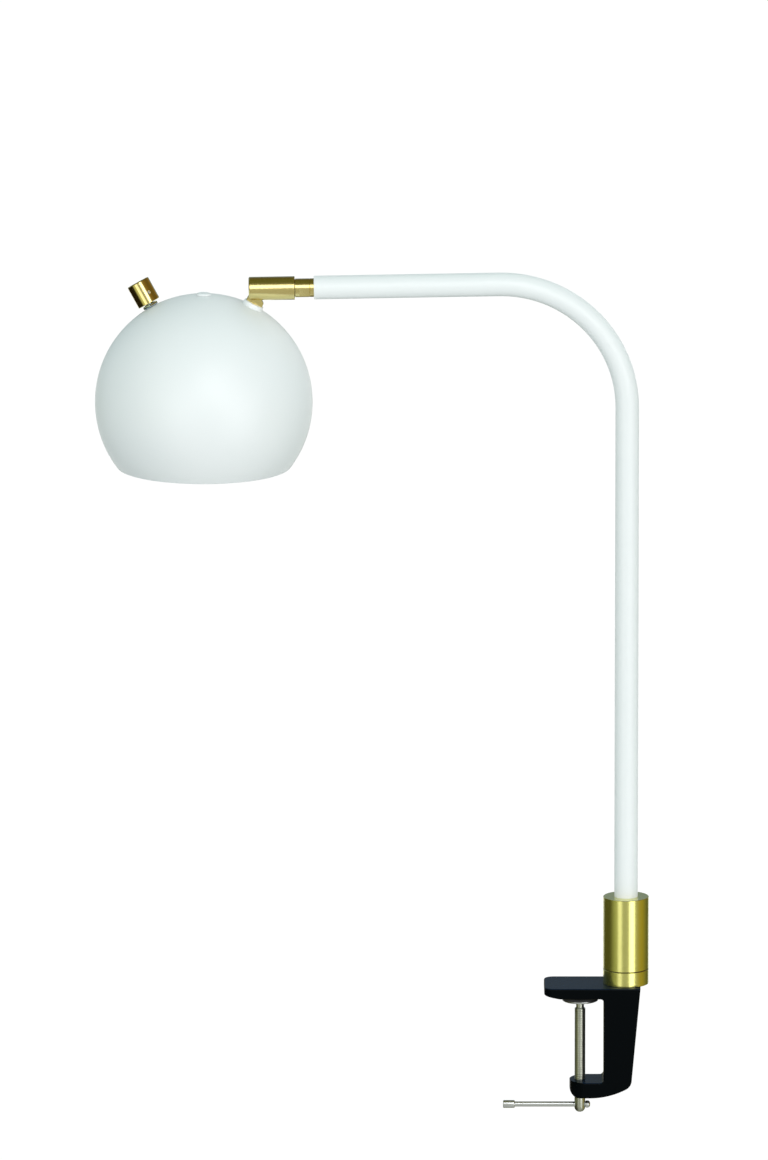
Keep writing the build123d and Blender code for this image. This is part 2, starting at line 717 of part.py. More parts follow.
with BuildPart() as tongue:
    with BuildSketch(tongue_plane):
        Circle(tongue_eye)
        Polygon(
            (0, -tongue_waist),
            (tongue_waist_end, -tongue_waist),
            (tongue_foot_start, -tongue_foot),
            (tongue_end, -tongue_foot),
            (tongue_end, tongue_foot),
            (tongue_foot_start, tongue_foot),
            (tongue_waist_end, tongue_waist),
            (0, tongue_waist),
            align=None,
        )
    extrude(amount=tongue_thickness / 2, both=True)
    with BuildSketch(across_stud(tongue_end)):
        Circle(stud_radius)
    extrude(amount=stud_end - tongue_end)
    with BuildSketch(across_stud(stud_bore_top)):
        Circle(stud_bore)
    extrude(amount=stud_end - stud_bore_top, mode=Mode.SUBTRACT)
    with BuildSketch(pin_plane):
        Circle(pin_radius + run_gap)
    extrude(amount=tongue_thickness, both=True, mode=Mode.SUBTRACT)
tongue.part.label = "tongue"
export_step(tongue.part, "parts/tongue.step")

with BuildPart() as saddle:
    with BuildSketch(across_stud(tongue_end)):
        Circle(saddle_top_radius)
    with BuildSketch(across_stud(shade_drop - shade_radius + 1)):
        Circle(saddle_radius)
    loft()
    with BuildSketch(across_stud(tongue_end)):
        Circle(stud_radius + seat_gap)
    extrude(amount=2 * (shade_drop - shade_radius), mode=Mode.SUBTRACT)
    with Locations(shade_middle):
        Sphere(shade_radius + seat_gap, mode=Mode.SUBTRACT)
saddle.part.label = "saddle"
export_step(saddle.part, "parts/saddle.step")

with BuildPart() as stud_washer:
    with BuildSketch(across_stud(stud_washer_top)):
        Circle(stud_washer_radius)
        Circle(stud_radius + seat_gap, mode=Mode.SUBTRACT)
    extrude(amount=stud_washer_thickness)
stud_washer.part.label = "stud_washer"
export_step(stud_washer.part, "parts/stud_washer.step")

with BuildPart() as stud_nut:
    with BuildSketch(across_stud(stud_nut_top)):
        RegularPolygon(radius=stud_nut_width / 2, side_count=6, major_radius=False)
        Circle(stud_radius + seat_gap, mode=Mode.SUBTRACT)
    extrude(amount=stud_nut_height)
stud_nut.part.label = "stud_nut"
export_step(stud_nut.part, "parts/stud_nut.step")

# The shade

bead_path = shade_radius - rim_bead
bead_spot = (bead_path * cos(radians(rim_angle)), -bead_path * sin(radians(rim_angle)))

with BuildPart() as shade:
    with BuildSketch(shade_section):
        with BuildLine():
            outside = CenterArc((0, 0), shade_radius, -rim_angle, 90 + rim_angle)
            inside = CenterArc((0, 0), shade_inner, -rim_angle, 90 + rim_angle)
            Line(outside @ 0, inside @ 0)
            Line(outside @ 1, inside @ 1)
        make_face()
        with Locations(bead_spot):
            Circle(rim_bead)
    revolve(axis=Axis(shade_middle, (0, 0, 1)))
    with BuildSketch(over_shade(0)):
        Circle(top_screw_radius + seat_gap)
    extrude(amount=shade_radius + 1, mode=Mode.SUBTRACT)
    with BuildSketch(across_switch(0)):
        Circle(bush_radius + seat_gap)
    extrude(amount=shade_radius + 1, mode=Mode.SUBTRACT)
    with BuildSketch(across_stud(0)):
        Circle(stud_radius + seat_gap)
    extrude(amount=shade_drop, mode=Mode.SUBTRACT)
shade.part.label = "shade"
export_step(shade.part, "parts/shade.step")

# The rotary switch and its knob

with BuildPart() as switch_body:
    with BuildSketch(across_switch(switch_back)):
        Circle(switch_radius)
    extrude(amount=switch_depth)
    with BuildSketch(across_switch(shaft_start - 0.5)):
        Circle(shaft_radius + run_gap)
    extrude(amount=switch_depth, mode=Mode.SUBTRACT)
switch_body.part.label = "switch_body"
export_step(switch_body.part, "parts/switch_body.step")

with BuildPart() as switch_bush:
    with BuildSketch(across_switch(switch_face)):
        Circle(bush_radius)
        Circle(shaft_radius + run_gap, mode=Mode.SUBTRACT)
    extrude(amount=bush_end - switch_face)
switch_bush.part.label = "switch_bush"
export_step(switch_bush.part, "parts/switch_bush.step")

with BuildPart() as switch_nut:
    with BuildSketch(across_switch(shade_radius)):
        RegularPolygon(radius=switch_nut_width / 2, side_count=6, major_radius=False)
        Circle(bush_radius + seat_gap, mode=Mode.SUBTRACT)
    extrude(amount=switch_nut_height)
switch_nut.part.label = "switch_nut"
export_step(switch_nut.part, "parts/switch_nut.step")

with BuildPart() as switch_shaft:
    with BuildSketch(across_switch(shaft_start)):
        Circle(shaft_radius)
    extrude(amount=knob_end - knob_cap - shaft_start)
switch_shaft.part.label = "switch_shaft"
export_step(switch_shaft.part, "parts/switch_shaft.step")

with BuildPart() as knob:
    with BuildSketch(across_switch(knob_start)):
        Circle(knob_radius)
    extrude(amount=knob_end - knob_start)
    chamfer(edges().filter_by(GeomType.CIRCLE), length=knob_edge)
    with BuildSketch(across_switch(knob_start)):
        Circle(shaft_radius + seat_gap)
    extrude(amount=knob_end - knob_cap - knob_start, mode=Mode.SUBTRACT)
    with BuildSketch(knob_screw_plane):
        Circle(knob_screw_radius + seat_gap)
    extrude(amount=knob_radius + 1, mode=Mode.SUBTRACT)
knob.part.label = "knob"
export_step(knob.part, "parts/knob.step")

with BuildPart() as knob_grub_screw:
    with BuildSketch(knob_screw_plane.offset(shaft_radius + seat_gap)):
        Circle(knob_screw_radius)
    extrude(amount=knob_screw_face - shaft_radius)
    with BuildSketch(knob_screw_plane.offset(knob_screw_face + seat_gap)):
        RegularPolygon(radius=0.75, side_count=6, major_radius=False)
    extrude(amount=-1.6, mode=Mode.SUBTRACT)
knob_grub_screw.part.label = "knob_grub_screw"
export_step(knob_grub_screw.part, "parts/knob_grub_screw.step")

# The lampholder under the shade's top, and its bulb

with BuildPart() as top_screw:
    with BuildSketch(over_shade(shade_radius)):
        Circle(top_head_radius)
    extrude(amount=top_head_height)
    fillet(edges().group_by(Axis.Z)[-1], radius=1.2)
    with BuildSketch(over_shade(shade_radius)):
        Circle(top_screw_radius)
    extrude(amount=-top_screw_length)
top_screw.part.label = "top_screw"
export_step(top_screw.part, "parts/top_screw.step")

wire_exit = shade_middle + switch_dir * (switch_back - holder_wire_run) + switch_side * switch_radius / 2
wire_inlet = over_shade((holder_shoulder + holder_seam) / 2).origin
wire_inlet -= Vector(holder_radius - holder_wall - 0.8, wire_radius, 0)

with BuildPart() as holder_cap:
    with BuildSketch(over_shade(holder_seam)):
        Circle(holder_radius)
    extrude(amount=holder_shoulder - holder_seam)
    with BuildSketch(over_shade(holder_shoulder)):
        Circle(holder_radius)
    with BuildSketch(over_shade(holder_top)):
        Circle(holder_top_radius)
    loft()
    with BuildSketch(over_shade(holder_seam)):
        Circle(holder_radius - holder_wall)
    extrude(amount=holder_shoulder - holder_seam, mode=Mode.SUBTRACT)
    with BuildSketch(over_shade(holder_seam)):
        Circle(top_screw_radius + seat_gap)
    extrude(amount=shade_radius - holder_seam, mode=Mode.SUBTRACT)
    with BuildSketch(Plane(wire_inlet, z_dir=wire_exit - wire_inlet)):
        Circle(wire_radius + 0.2)
    extrude(amount=3 * holder_wall, mode=Mode.SUBTRACT)
holder_cap.part.label = "holder_cap"
export_step(holder_cap.part, "parts/holder_cap.step")

with BuildPart() as holder_body:
    with BuildSketch(over_shade(holder_mouth)):
        Circle(holder_radius)
    extrude(amount=holder_seam - holder_mouth)
    fillet(edges().group_by(Axis.Z)[0], radius=1.5)
    with BuildSketch(over_shade(holder_mouth)):
        Circle(shell_radius + seat_gap)
    extrude(amount=socket_top - holder_mouth, mode=Mode.SUBTRACT)
holder_body.part.label = "holder_body"
export_step(holder_body.part, "parts/holder_body.step")

with BuildPart() as holder_shell:
    with BuildSketch(over_shade(holder_mouth + 2)):
        Circle(shell_radius)
        Circle(shell_radius - shell_wall, mode=Mode.SUBTRACT)
    extrude(amount=socket_top - holder_mouth - 2)
holder_shell.part.label = "holder_shell"
export_step(holder_shell.part, "parts/holder_shell.step")

with BuildPart() as holder_contact:
    with BuildSketch(over_shade(bulb_tip)):
        Circle(contact_radius)
    extrude(amount=contact_height)
holder_contact.part.label = "holder_contact"
export_step(holder_contact.part, "parts/holder_contact.step")

with BuildPart() as bulb_cap:
    with BuildSketch(over_shade(bulb_cap_end)):
        Circle(bulb_cap_radius)
    extrude(amount=bulb_cap_length - 2)
    with BuildSketch(over_shade(bulb_tip - 2)):
        Circle(bulb_cap_radius)
    with BuildSketch(over_shade(bulb_tip)):
        Circle(contact_radius)
    loft()
bulb_cap.part.label = "bulb_cap"
export_step(bulb_cap.part, "parts/bulb_cap.step")

with BuildPart() as bulb_neck:
    with BuildSketch(over_shade(bulb_cap_end)):
        Circle(bulb_neck_radius)
    with BuildSketch(over_shade(bulb_neck_end)):
        Circle(globe_mouth)
    loft()
bulb_neck.part.label = "bulb_neck"
export_step(bulb_neck.part, "parts/bulb_neck.step")

with BuildPart() as bulb_globe:
    with Locations(shade_middle + Vector(0, 0, globe_middle)):
        Sphere(globe_radius)
        Sphere(globe_radius - globe_wall, mode=Mode.SUBTRACT)
    with BuildSketch(over_shade(bulb_neck_end)):
        Circle(globe_radius)
    extrude(amount=globe_radius, mode=Mode.SUBTRACT)
bulb_globe.part.label = "bulb_globe"
export_step(bulb_globe.part, "parts/bulb_globe.step")

# Wires inside the shade: stud to switch round the back of the lampholder, switch to lampholder

wire_back = holder_radius + wire_clearance

with BuildPart() as stud_wire:
    with BuildLine() as stud_wire_path:
        FilletPolyline(
            pivot + stud_dir * (stud_end - wire_tuck),
            pivot + stud_dir * (stud_end + stud_wire_run),
            shade_middle + Vector(holder_radius, wire_back, holder_seam - wire_clearance),
            shade_middle + Vector(-holder_radius, wire_back, holder_seam - wire_clearance),
            shade_middle + switch_dir * (switch_back - switch_wire_run),
            shade_middle + switch_dir * switch_back,
            radius=wire_bend,
        )
    with BuildSketch(across_stud(stud_end - wire_tuck)):
        Circle(wire_radius)
    sweep(path=stud_wire_path.wires()[0])
stud_wire.part.label = "stud_wire"
export_step(stud_wire.part, "parts/stud_wire.step")

with BuildPart() as holder_wire:
    with BuildLine() as holder_wire_path:
        FilletPolyline(
            wire_exit + switch_dir * holder_wire_run,
            wire_exit,
            wire_inlet,
            radius=4.0,
        )
    with BuildSketch(Plane(wire_exit + switch_dir * holder_wire_run, z_dir=-switch_dir)):
        Circle(wire_radius)
    sweep(path=holder_wire_path.wires()[0])
holder_wire.part.label = "holder_wire"
export_step(holder_wire.part, "parts/holder_wire.step")
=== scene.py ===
"""Dresses the swing-arm desk lamp: a finish for every piece, and finer pieces where their detail shows.

Metres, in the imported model's frame: the table jaw's underside is at Z 0 and the arm reaches towards -X.
"""
import json
from math import atan2, cos, pi, radians, sin, sqrt

import bpy
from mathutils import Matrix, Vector


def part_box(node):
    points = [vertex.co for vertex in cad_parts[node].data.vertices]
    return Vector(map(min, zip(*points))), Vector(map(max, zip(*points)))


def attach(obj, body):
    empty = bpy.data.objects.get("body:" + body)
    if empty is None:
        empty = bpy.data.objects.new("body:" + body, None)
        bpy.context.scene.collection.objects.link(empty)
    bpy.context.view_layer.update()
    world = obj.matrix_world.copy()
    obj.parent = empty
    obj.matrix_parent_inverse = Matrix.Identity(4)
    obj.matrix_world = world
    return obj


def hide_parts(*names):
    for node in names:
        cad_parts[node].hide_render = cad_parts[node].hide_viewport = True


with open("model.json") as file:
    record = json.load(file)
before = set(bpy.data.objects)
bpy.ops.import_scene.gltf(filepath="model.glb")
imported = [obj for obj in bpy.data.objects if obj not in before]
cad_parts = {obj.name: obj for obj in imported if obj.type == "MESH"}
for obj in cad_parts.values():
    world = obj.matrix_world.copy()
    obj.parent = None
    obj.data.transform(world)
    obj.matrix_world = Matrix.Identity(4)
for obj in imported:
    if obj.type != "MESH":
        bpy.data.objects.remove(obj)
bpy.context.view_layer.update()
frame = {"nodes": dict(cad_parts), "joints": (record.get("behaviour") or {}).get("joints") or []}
nodes = frame["nodes"]
spots = {joint["name"]: Vector(joint.get("pos_m", (0, 0, 0))) for joint in frame["joints"]}
axes = {joint["name"]: Vector(joint["axis"]) for joint in frame["joints"]}

MM = 0.001
UP = Vector((0, 0, 1))
ALONG_X = Vector((1, 0, 0))
ALONG_Y = Vector((0, 1, 0))
column = spots["arm_swing"]
arm_start = spots["knuckle_swivel"]
arm_dir = axes["knuckle_swivel"]
pivot = spots["shade_tilt"]
shade_middle = spots["knob_turn"]
switch_dir = axes["knob_turn"]
stud_dir = (shade_middle - pivot).normalized()
shade_radius = 90.0
shade_inside = 89.0


# Finishes

class Wire:
    """An output of a finish's nodes that can stand in a sum."""

    def __init__(self, finish, socket):
        self.finish = finish
        self.socket = socket

    def math(self, operation, *values):
        return self.finish.node("Math", {"operation": operation}, dict(enumerate(values)))

    def __add__(self, other):
        return self.math("ADD", self, other)

    def __sub__(self, other):
        return self.math("SUBTRACT", self, other)

    def __rsub__(self, other):
        return self.math("SUBTRACT", other, self)

    def __mul__(self, other):
        return self.math("MULTIPLY", self, other)

    def __truediv__(self, other):
        return self.math("DIVIDE", self, other)

    __radd__ = __add__
    __rmul__ = __mul__

    def root(self):
        return self.math("SQRT", self)

    def __abs__(self):
        return self.math("ABSOLUTE", self)

    def between(self, low, high):
        """0 at low and below, 1 at high and above."""
        ends = {"From Min": low, "From Max": high}
        return self.finish.node("MapRange", {"clamp": True}, {"Value": self, **ends})


class Nodes:
    """A node tree, filled by calls and sums."""

    def __init__(self, tree):
        self.tree = tree

    def node(self, kind, settings, sockets, out=0):
        """Any node: its settings first, then the values or links of its sockets."""
        made = self.tree.nodes.new("ShaderNode" + kind)
        for name, value in settings.items():
            setattr(made, name, value)
        for name, value in sockets.items():
            self.feed(made.inputs[name], value)
        return Wire(self, made.outputs[out])

    def feed(self, socket, value):
        if isinstance(value, Wire):
            self.tree.links.new(value.socket, socket)
        elif socket.type == "RGBA":
            socket.default_value = (*value, 1.0)
        else:
            socket.default_value = value

    def place(self, origin=(0, 0, 0), axis=UP):
        """Object coordinates from a point on the lamp, with z along an axis."""
        turn = UP.rotation_difference(Vector(axis)).to_euler()
        spot = self.node("TexCoord", {}, {}, out="Object")
        seat = {"Location": origin, "Rotation": turn}
        return self.node("Mapping", {"vector_type": "TEXTURE"}, {0: spot, **seat})

    def split(self, spot):
        parts = self.node("SeparateXYZ", {}, {0: spot}).socket.node
        return [Wire(self, output) for output in parts.outputs]

    def join(self, x, y, z):
        return self.node("CombineXYZ", {}, {0: x, 1: y, 2: z})

    def noise(self, spot, size, detail=2.0, rough=0.5):
        """Cloudy values about 0.5, with patches of a size in metres."""
        grain = {"Scale": 1 / size, "Detail": detail, "Roughness": rough}
        return self.node("TexNoise", {}, {"Vector": spot, **grain})

    def mix(self, share, first, second):
        """A colour between two."""
        return self.node("Mix", {"data_type": "RGBA"}, {0: share, 6: first, 7: second}, out=2)

    def relief(self, height):
        """The normal of a height in metres."""
        return self.node("Bump", {}, {"Height": height, "Distance": 1.0, "Strength": 1.0})

    def edges(self, reach):
        """1 along edges, 0 on faces: where rounding them over a reach in metres would turn the surface."""
        eased = self.node("Bevel", {"samples": 6}, {"Radius": reach})
        facing = self.node("NewGeometry", {}, {}, out="Normal")
        alike = self.node("VectorMath", {"operation": "DOT_PRODUCT"}, {0: eased, 1: facing}, out="Value")
        return alike.between(0.985, 0.90)

    def seen(self):
        """1 to the camera, in mirrors and through glass, 0 to the light that falls on the lamp."""
        kinds = ("Is Camera Ray", "Is Glossy Ray", "Is Transmission Ray")
        direct, mirrored, through = [self.node("LightPath", {}, {}, out=kind) for kind in kinds]
        return direct + mirrored + through


class Finish(Nodes):
    """One material."""

    def __init__(self, name):
        self.material = bpy.data.materials.new(name)
        self.material.use_nodes = True
        super().__init__(self.material.node_tree)
        self.shader = self.tree.nodes["Principled BSDF"]

    def surface(self, **sockets):
        """Sets the shader's own sockets; a name's underscores stand for spaces."""
        for name, value in sockets.items():
            self.feed(self.shader.inputs[name.replace("_", " ")], value)
        return self.material


def white_paint():
    """Satin white paint, with a faint orange peel; matt inside the shade."""
    paint = Finish("white_paint")
    spot = paint.place()
    cloud = paint.noise(spot, 60 * MM)
    peel = paint.noise(spot, 1.6 * MM, detail=1.0)
    depth = paint.node("VectorMath", {"operation": "LENGTH"}, {0: paint.place(shade_middle)}, out="Value")
    inside = 1 - depth.between((shade_inside + 0.2) * MM, (shade_radius - 0.2) * MM)
    return paint.surface(
        Base_Color=paint.mix(cloud, (0.866, 0.882, 0.892), (0.888, 0.898, 0.907)),
        Roughness=0.36 + 0.10 * peel + 0.25 * inside,
        Normal=paint.relief(peel * 4e-6),
    )


def turned_brass(name, origin, axis, rough, pale=(0.795, 0.695, 0.315), deep=(0.725, 0.620, 0.258)):
    """Lacquered brass with the fine lines of a lathe round an axis."""
    brass = Finish(name)
    x, y, z = brass.split(brass.place(origin, axis))
    radius = (x * x + y * y).root()
    around = (x + y) * 0.03
    fine = brass.noise(brass.join(radius, around, z), 0.22 * MM, detail=2.0, rough=0.6)
    broad = brass.noise(brass.join(radius, around, z), 2.4 * MM, detail=1.0)
    patina = brass.noise(brass.place(), 18 * MM, detail=3.0)
    # Edges are painted paler: partly rubbed wear, partly a painted highlight along the edges.
    wear_and_edge_highlight = brass.edges(0.4 * MM)
    return brass.surface(
        Base_Color=brass.mix(wear_and_edge_highlight * 0.5, brass.mix(patina, deep, pale), (0.84, 0.77, 0.34)),
        Metallic=1.0,
        Roughness=rough + 0.06 * fine + 0.04 * broad,
        Normal=brass.relief(fine * 2.5e-6 + broad * 5e-7),
        Coat_Weight=0.35,
        Coat_Roughness=0.12,
    )


def black_enamel():
    """Gloss black paint on a casting whose skin shows as a slow wave, with a mottled bluish tint painted on
    faces that look up, a painted reflection of the sky.
    """
    enamel = Finish("black_enamel")
    spot = enamel.place()
    wave = enamel.noise(spot, 7 * MM, detail=1.0)
    peel = enamel.noise(spot, 1.1 * MM, detail=2.0)
    dull = enamel.noise(spot, 30 * MM)
    # Edges are painted paler in patches: partly chipped wear, partly a painted highlight along the edges.
    wear_and_edge_highlight = enamel.edges(0.6 * MM) * peel.between(0.35, 0.65)
    facing = enamel.split(enamel.node("TexCoord", {}, {}, out="Normal"))[2]
    # Faces that look up are painted bluish: a painted reflection of the sky, mottled by the dull patches.
    painted_sky_sheen = facing.between(0.5, 0.95) * (0.6 + 0.8 * dull)
    skin = enamel.mix(painted_sky_sheen, (0.0014, 0.0024, 0.0032), (0.004, 0.013, 0.031))
    return enamel.surface(
        Base_Color=enamel.mix(wear_and_edge_highlight * 0.35, skin, (0.020, 0.022, 0.024)),
        Roughness=0.14 + 0.10 * dull + 0.08 * peel,
        IOR=1.12,
        Normal=enamel.relief(wave * 2.5e-5 + peel * 4e-6),
    )


def plated(name, colour, dark, rough):
    """Plated metal with a slight mottle and a fine grain."""
    plate = Finish(name)
    spot = plate.place()
    mottle = plate.noise(spot, 3 * MM, detail=4.0, rough=0.6)
    grain = plate.noise(spot, 0.35 * MM)
    return plate.surface(
        Base_Color=plate.mix(mottle, dark, colour),
        Metallic=1.0,
        Roughness=rough + 0.10 * mottle + 0.04 * grain,
        Normal=plate.relief(grain * 8e-7),
    )


def moulded(name, colour, pale, rough):
    """Moulded plastic or rubber with a fine spark-eroded grain."""
    moulding = Finish(name)
    spot = moulding.place()
    grain = moulding.noise(spot, 0.5 * MM, detail=2.0)
    cloud = moulding.noise(spot, 12 * MM)
    return moulding.surface(
        Base_Color=moulding.mix(cloud, colour, pale),
        Roughness=rough + 0.12 * grain,
        Normal=moulding.relief(grain * 1.2e-5),
    )


def opal_glass():
    """Frosted white glass."""
    glass = Finish("opal_glass")
    frost = glass.noise(glass.place(), 0.8 * MM)
    cloud = glass.noise(glass.place(), 15 * MM)
    return glass.surface(
        Base_Color=glass.mix(cloud, (0.86, 0.85, 0.81), (0.90, 0.89, 0.86)),
        Roughness=0.30 + 0.10 * frost,
        Normal=glass.relief(frost * 2e-6),
    )


paint = white_paint()
collar_brass = turned_brass("collar_brass", column, UP, 0.19, (0.765, 0.768, 0.280), (0.700, 0.698, 0.230))
knuckle_brass = turned_brass("knuckle_brass", arm_start, arm_dir, 0.17)
knob_brass = turned_brass("knob_brass", shade_middle, switch_dir, 0.07)
tongue_brass = turned_brass("tongue_brass", pivot, stud_dir, 0.20)
enamel = black_enamel()
nickel = plated("nickel", (0.52, 0.56, 0.50), (0.43, 0.47, 0.42), 0.24)
bright = plated("bright_nickel", (0.72, 0.77, 0.82), (0.62, 0.67, 0.72), 0.24)
zinc = plated("zinc_steel", (0.60, 0.61, 0.62), (0.46, 0.47, 0.47), 0.30)
# The chrome's blue tint is painted: it stands in for the bluish surroundings that it mirrors.
chrome = plated("chrome", (0.66, 0.79, 0.94), (0.58, 0.71, 0.86), 0.10)
contact = plated("contact_brass", (0.74, 0.60, 0.28), (0.62, 0.48, 0.20), 0.26)
cap_metal = plated("cap_metal", (0.76, 0.76, 0.75), (0.66, 0.66, 0.65), 0.24)
rubber = moulded("black_rubber", (0.016, 0.016, 0.018), (0.026, 0.026, 0.028), 0.62)
nylon = moulded("nylon", (0.014, 0.011, 0.006), (0.024, 0.020, 0.012), 0.45)
sheath = moulded("lead_sheath", (0.78, 0.78, 0.76), (0.84, 0.84, 0.83), 0.42)
bakelite = moulded("holder_plastic", (0.018, 0.018, 0.018), (0.030, 0.029, 0.028), 0.34)
porcelain = moulded("white_plastic", (0.80, 0.80, 0.78), (0.86, 0.86, 0.84), 0.22)
glass = opal_glass()

coats = {
    paint: ["shade", "arm_tube", "saddle", "top_screw", "tube_insert"],
    collar_brass: ["base_ring", "swing_sleeve"],
    knuckle_brass: ["stem_ring", "swivel_stem", "knuckle_body"],
    tongue_brass: ["tongue"],
    knob_brass: ["knob"],
    enamel: ["clamp_frame"],
    nickel: ["clamp_spindle"],
    bright: ["tommy_bar", "tommy_bar_grip", "pad_disc"],
    zinc: [
        "swing_axle", "thrust_washer", "lock_nut", "swing_hub", "spring_washer", "tube_grub_screw",
        "swivel_grub_screw", "pivot_pin", "stud_washer", "stud_nut", "knob_grub_screw", "switch_shaft",
    ],
    chrome: ["switch_nut", "switch_bush"],
    rubber: ["pad_cushion", "cord_bush"],
    nylon: ["seam_washer", "swivel_washer", "pivot_washer_front", "pivot_washer_back"],
    sheath: ["arm_lead", "stud_wire", "holder_wire"],
    bakelite: ["holder_cap", "holder_body", "switch_body"],
    contact: ["holder_shell", "holder_contact"],
    cap_metal: ["bulb_cap"],
    porcelain: ["bulb_neck"],
    glass: ["bulb_globe"],
}
for coat, names in coats.items():
    for name in names:
        nodes[name].data.materials.clear()
        nodes[name].data.materials.append(coat)


# Pieces modelled here, each on the Z axis in millimetres before it is set in its place

# In metres: corners this close are one corner, and edges this short are dissolved
touching = 1e-7
sliver = 1e-6


def finish_edit():
    """Closes seams, turns faces outwards and leaves edit mode."""
    bpy.ops.mesh.select_all(action="SELECT")
    bpy.ops.mesh.remove_doubles(threshold=touching)
    bpy.ops.mesh.normals_make_consistent(inside=False)
    bpy.ops.object.mode_set(mode="OBJECT")


def take(*pieces):
    """Selects pieces only, the first as the active one."""
    bpy.ops.object.select_all(action="DESELECT")
    for piece in pieces:
        piece.select_set(True)
    bpy.context.view_layer.objects.active = pieces[0]


def mended(piece):
    """Dissolves the slivers that a cut or a bevel leaves."""
    take(piece)
    bpy.ops.object.mode_set(mode="EDIT")
    bpy.ops.mesh.select_all(action="SELECT")
    bpy.ops.mesh.dissolve_degenerate(threshold=sliver)
    finish_edit()
    return piece


def turned(steps, sides=64, hollow=False):
    """A lathe-turned form: a ring drawn out through steps of radius and height.

    A solid one is filled at both ends; a hollow one comes back round to its first ring.
    """
    bpy.ops.object.select_all(action="DESELECT")
    radius, height = steps[0]
    bpy.ops.mesh.primitive_circle_add(
        vertices=sides, radius=radius * MM, fill_type="NOTHING" if hollow else "NGON",
        location=(0, 0, height * MM),
    )
    bpy.ops.object.transform_apply(location=True, rotation=True, scale=True)
    bpy.ops.object.mode_set(mode="EDIT")
    bpy.ops.mesh.select_mode(type="VERT")
    bpy.ops.mesh.select_all(action="SELECT")
    for wide, high in steps[1:] + (steps[:1] if hollow else []):
        bpy.ops.mesh.extrude_region_move(TRANSFORM_OT_translate={"value": (0, 0, (high - height) * MM)})
        share = wide / radius
        bpy.ops.transform.resize(value=(share, share, 1), center_override=(0, 0, high * MM))
        radius, height = wide, high
    finish_edit()
    return bpy.context.object


def threaded(outline, pitch, low, high, steps):
    """A thread between two levels: one pitch of its outline, wound up and cut off square at both ends.

    The outline is the radius at even steps up one pitch; its last radius is the next turn's first. The
    winding starts half a step off the cuts, so that no corner lies in them.
    """
    bpy.ops.object.select_all(action="DESELECT")
    bpy.ops.mesh.primitive_plane_add(size=MM, location=(0, 0, 0))
    bpy.ops.object.mode_set(mode="EDIT")
    bpy.ops.mesh.select_mode(type="VERT")
    bpy.ops.mesh.select_all(action="SELECT")
    bpy.ops.mesh.merge(type="CENTER")
    start = low - 1.5 * pitch + 0.5 * pitch / steps
    bpy.ops.transform.translate(value=(outline[0] * MM, 0, start * MM))
    rise = pitch / len(outline)
    for near, far in zip(outline, outline[1:] + outline[:1]):
        bpy.ops.mesh.extrude_vertices_move(
            TRANSFORM_OT_translate={"value": ((far - near) * MM, 0, rise * MM)}
        )
    bpy.ops.object.mode_set(mode="OBJECT")
    thread = bpy.context.object
    wind = thread.modifiers.new("wind", "SCREW")
    wind.screw_offset = pitch * MM
    wind.iterations = int((high - low) / pitch) + 3
    wind.steps = wind.render_steps = steps
    bpy.ops.object.modifier_apply(modifier="wind")
    bpy.ops.object.mode_set(mode="EDIT")
    bpy.ops.mesh.select_all(action="SELECT")
    bpy.ops.mesh.remove_doubles(threshold=sliver)
    level = {"plane_no": UP, "use_fill": True, "threshold": touching}
    bpy.ops.mesh.bisect(plane_co=(0, 0, low * MM), clear_inner=True, **level)
    bpy.ops.mesh.select_all(action="SELECT")
    bpy.ops.mesh.bisect(plane_co=(0, 0, high * MM), clear_outer=True, **level)
    finish_edit()
    return thread


def cut(piece, tool, keep="DIFFERENCE"):
    """Cuts a piece with another, or keeps what is common to both."""
    take(piece)
    saw = piece.modifiers.new("saw", "BOOLEAN")
    saw.operation = keep
    saw.object = tool
    bpy.ops.object.modifier_apply(modifier="saw")
    bpy.data.objects.remove(tool)
    return mended(piece)


def rounded(piece, size):
    """Takes the sharp edges off a piece."""
    take(piece)
    edge = piece.modifiers.new("edge", "BEVEL")
    edge.width = size * MM
    edge.segments = 2
    edge.limit_method = "ANGLE"
    edge.angle_limit = radians(35)
    bpy.ops.object.modifier_apply(modifier="edge")
    return mended(piece)


def joined(*pieces):
    """Several closed forms as one piece."""
    take(*pieces)
    bpy.ops.object.join()
    return pieces[0]


def copied(piece):
    """A second piece of the same form, with its own mesh."""
    twin = piece.copy()
    twin.data = piece.data.copy()
    bpy.context.scene.collection.objects.link(twin)
    return twin


def set_in(piece, origin, axis=UP):
    """Moves a piece from the Z axis to a place and direction on the lamp."""
    take(piece)
    piece.rotation_euler = UP.rotation_difference(Vector(axis)).to_euler()
    piece.location = origin
    bpy.ops.object.transform_apply(location=True, rotation=True, scale=True)
    return piece


def fit(name, piece, body, coat, slot, *stands_for, smooth=32):
    """Names a finished piece, dresses it and hands it to its body."""
    take(piece)
    bpy.ops.object.shade_smooth_by_angle(angle=radians(smooth))
    piece.name = piece.data.name = name
    piece.data.materials.clear()
    piece.data.materials.append(coat)
    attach(piece, body)
    if stands_for:
        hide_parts(*stands_for)


def hex_nut(width, low, height, bore):
    """A six-sided nut, chamfered at both faces and countersunk at its bore."""
    bpy.ops.object.select_all(action="DESELECT")
    corner = width / sqrt(3)
    bpy.ops.mesh.primitive_cylinder_add(
        vertices=6, radius=corner * MM, depth=height * MM, location=(0, 0, (low + height / 2) * MM)
    )
    bpy.ops.object.transform_apply(location=True, rotation=True, scale=True)
    nut = bpy.context.object
    top = low + height
    face = 0.475 * width
    slope = 0.62 * (corner - face)
    blank = turned([
        (bore + 0.5, low), (face, low), (corner + 0.1, low + slope), (corner + 0.1, top - slope),
        (face, top), (bore + 0.5, top), (bore, top - 0.5), (bore, low + 0.5),
    ], hollow=True)
    return cut(nut, blank, "INTERSECT")


